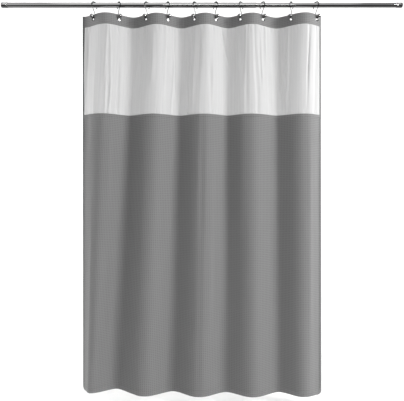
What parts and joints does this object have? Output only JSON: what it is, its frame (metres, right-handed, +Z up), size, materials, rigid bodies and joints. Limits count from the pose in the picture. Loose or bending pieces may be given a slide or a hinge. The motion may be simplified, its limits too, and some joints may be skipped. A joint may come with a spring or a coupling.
{
  "type": "shower curtain",
  "caption": "Grey waffle shower curtain with a pale sheer window, hung by ball hooks with rollers on a telescoping chrome tension rod.",
  "frame": {"origin": "centre of the left end pad's outer face, on the rod's axis", "axes": "+X along the rod to its right end, +Z up, -Y towards the room (the curtain's front)"},
  "size_m": [2.082, 0.064, 2.0402],
  "materials": {
    "polished_chrome": "mirror-polished chrome plate",
    "plated_steel_wire": "bright plated steel wire",
    "grey_rubber": "matt moulded rubber",
    "white_nylon": "plain moulded nylon",
    "grey_waffle_cloth": "grey polyester waffle weave",
    "pale_sheer_voile": "pale semi-sheer voile, finely creased",
    "grey_hem_tape": "folded and stitched grey hem"
  },
  "bodies": {
    "rod": {"rod_outer_tube": "polished_chrome", "end_cap_left": "polished_chrome", "end_pad_left": "grey_rubber", "spring_stop_plug": "white_nylon", "tension_spring": "plated_steel_wire"},
    "rod_inner": {"rod_inner_tube": "polished_chrome", "end_cap_right": "polished_chrome", "end_pad_right": "grey_rubber", "inner_tube_glide": "white_nylon"},
    "curtain": {"header_band": "grey_waffle_cloth", "window_panel": "pale_sheer_voile", "main_panel": "grey_waffle_cloth", "bottom_hem": "grey_hem_tape", "side_hem_left": "grey_hem_tape", "side_hem_right": "grey_hem_tape", "hook_1_wire": "plated_steel_wire", "hook_1_ball": "polished_chrome", "eyelet_1": "polished_chrome"},
    "hook_2": {"hook_2_wire": "plated_steel_wire", "hook_2_ball": "polished_chrome", "eyelet_2": "polished_chrome"},
    "hook_3": {"hook_3_wire": "plated_steel_wire", "hook_3_ball": "polished_chrome", "eyelet_3": "polished_chrome"},
    "hook_4": {"hook_4_wire": "plated_steel_wire", "hook_4_ball": "polished_chrome", "eyelet_4": "polished_chrome"},
    "hook_5": {"hook_5_wire": "plated_steel_wire", "hook_5_ball": "polished_chrome", "eyelet_5": "polished_chrome"},
    "hook_6": {"hook_6_wire": "plated_steel_wire", "hook_6_ball": "polished_chrome", "eyelet_6": "polished_chrome"},
    "hook_7": {"hook_7_wire": "plated_steel_wire", "hook_7_ball": "polished_chrome", "eyelet_7": "polished_chrome"},
    "hook_8": {"hook_8_wire": "plated_steel_wire", "hook_8_ball": "polished_chrome", "eyelet_8": "polished_chrome"},
    "hook_9": {"hook_9_wire": "plated_steel_wire", "hook_9_ball": "polished_chrome", "eyelet_9": "polished_chrome"},
    "hook_10": {"hook_10_wire": "plated_steel_wire", "hook_10_ball": "polished_chrome", "eyelet_10": "polished_chrome"},
    "roller_1": {"hook_1_roller": "polished_chrome"},
    "roller_2": {"hook_2_roller": "polished_chrome"},
    "roller_3": {"hook_3_roller": "polished_chrome"},
    "roller_4": {"hook_4_roller": "polished_chrome"},
    "roller_5": {"hook_5_roller": "polished_chrome"},
    "roller_6": {"hook_6_roller": "polished_chrome"},
    "roller_7": {"hook_7_roller": "polished_chrome"},
    "roller_8": {"hook_8_roller": "polished_chrome"},
    "roller_9": {"hook_9_roller": "polished_chrome"},
    "roller_10": {"hook_10_roller": "polished_chrome"}
  },
  "joints": [
    {"name": "rod_extend", "type": "slide", "parent": "rod", "child": "rod_inner", "axis": [1, 0, 0], "range_m": [-0.22, 0.15], "deforming": ["tension_spring"]},
    {"name": "curtain_swing", "type": "hinge", "parent": "rod", "child": "curtain", "pos_m": [0.479, 0, 0], "axis": [1, 0, 0], "range_deg": [-20, 20]},
    {"name": "curtain_draw", "type": "slide", "parent": "curtain", "child": "hook_10", "axis": [1, 0, 0], "range_m": [-0.7418, 0], "deforming": ["header_band", "window_panel", "main_panel", "bottom_hem", "side_hem_left", "side_hem_right"]},
    {"name": "hook_2_slide", "type": "slide", "parent": "curtain", "child": "hook_2", "axis": [1, 0, 0], "range_m": [-0.08451, 0]},
    {"name": "hook_3_slide", "type": "slide", "parent": "curtain", "child": "hook_3", "axis": [1, 0, 0], "range_m": [-0.17475, 0]},
    {"name": "hook_4_slide", "type": "slide", "parent": "curtain", "child": "hook_4", "axis": [1, 0, 0], "range_m": [-0.24708, 0]},
    {"name": "hook_5_slide", "type": "slide", "parent": "curtain", "child": "hook_5", "axis": [1, 0, 0], "range_m": [-0.3354, 0]},
    {"name": "hook_6_slide", "type": "slide", "parent": "curtain", "child": "hook_6", "axis": [1, 0, 0], "range_m": [-0.40709, 0]},
    {"name": "hook_7_slide", "type": "slide", "parent": "curtain", "child": "hook_7", "axis": [1, 0, 0], "range_m": [-0.48837, 0]},
    {"name": "hook_8_slide", "type": "slide", "parent": "curtain", "child": "hook_8", "axis": [1, 0, 0], "range_m": [-0.56326, 0]},
    {"name": "hook_9_slide", "type": "slide", "parent": "curtain", "child": "hook_9", "axis": [1, 0, 0], "range_m": [-0.65606, 0]},
    {"name": "roller_1_spin", "type": "hinge", "parent": "curtain", "child": "roller_1", "pos_m": [0.48244, 0, 0.0162], "axis": [-0.5736, -0.8192, 0], "continuous": true},
    {"name": "roller_2_spin", "type": "hinge", "parent": "hook_2", "child": "roller_2", "pos_m": [0.60756, 0, 0.0162], "axis": [0.5736, -0.8192, 0], "continuous": true},
    {"name": "roller_3_spin", "type": "hinge", "parent": "hook_3", "child": "roller_3", "pos_m": [0.75544, 0, 0.0162], "axis": [-0.5736, -0.8192, 0], "continuous": true},
    {"name": "roller_4_spin", "type": "hinge", "parent": "hook_4", "child": "roller_4", "pos_m": [0.86156, 0, 0.0162], "axis": [0.5736, -0.8192, 0], "continuous": true},
    {"name": "roller_5_spin", "type": "hinge", "parent": "hook_5", "child": "roller_5", "pos_m": [1.00644, 0, 0.0162], "axis": [-0.5736, -0.8192, 0], "continuous": true},
    {"name": "roller_6_spin", "type": "hinge", "parent": "hook_6", "child": "roller_6", "pos_m": [1.11156, 0, 0.0162], "axis": [0.5736, -0.8192, 0], "continuous": true},
    {"name": "roller_7_spin", "type": "hinge", "parent": "hook_7", "child": "roller_7", "pos_m": [1.24544, 0, 0.0162], "axis": [-0.5736, -0.8192, 0], "continuous": true},
    {"name": "roller_8_spin", "type": "hinge", "parent": "hook_8", "child": "roller_8", "pos_m": [1.35556, 0, 0.0162], "axis": [0.5736, -0.8192, 0], "continuous": true},
    {"name": "roller_9_spin", "type": "hinge", "parent": "hook_9", "child": "roller_9", "pos_m": [1.50744, 0, 0.0162], "axis": [-0.5736, -0.8192, 0], "continuous": true},
    {"name": "roller_10_spin", "type": "hinge", "parent": "hook_10", "child": "roller_10", "pos_m": [1.63456, 0, 0.0162], "axis": [0.5736, -0.8192, 0], "continuous": true}
  ],
  "couplings": [
    {"joint": "hook_2_slide", "follows": "curtain_draw", "ratio": 0.11389},
    {"joint": "hook_3_slide", "follows": "curtain_draw", "ratio": 0.23555},
    {"joint": "hook_4_slide", "follows": "curtain_draw", "ratio": 0.33305},
    {"joint": "hook_5_slide", "follows": "curtain_draw", "ratio": 0.45211},
    {"joint": "hook_6_slide", "follows": "curtain_draw", "ratio": 0.54875},
    {"joint": "hook_7_slide", "follows": "curtain_draw", "ratio": 0.65833},
    {"joint": "hook_8_slide", "follows": "curtain_draw", "ratio": 0.75928},
    {"joint": "hook_9_slide", "follows": "curtain_draw", "ratio": 0.88438}
  ]
}
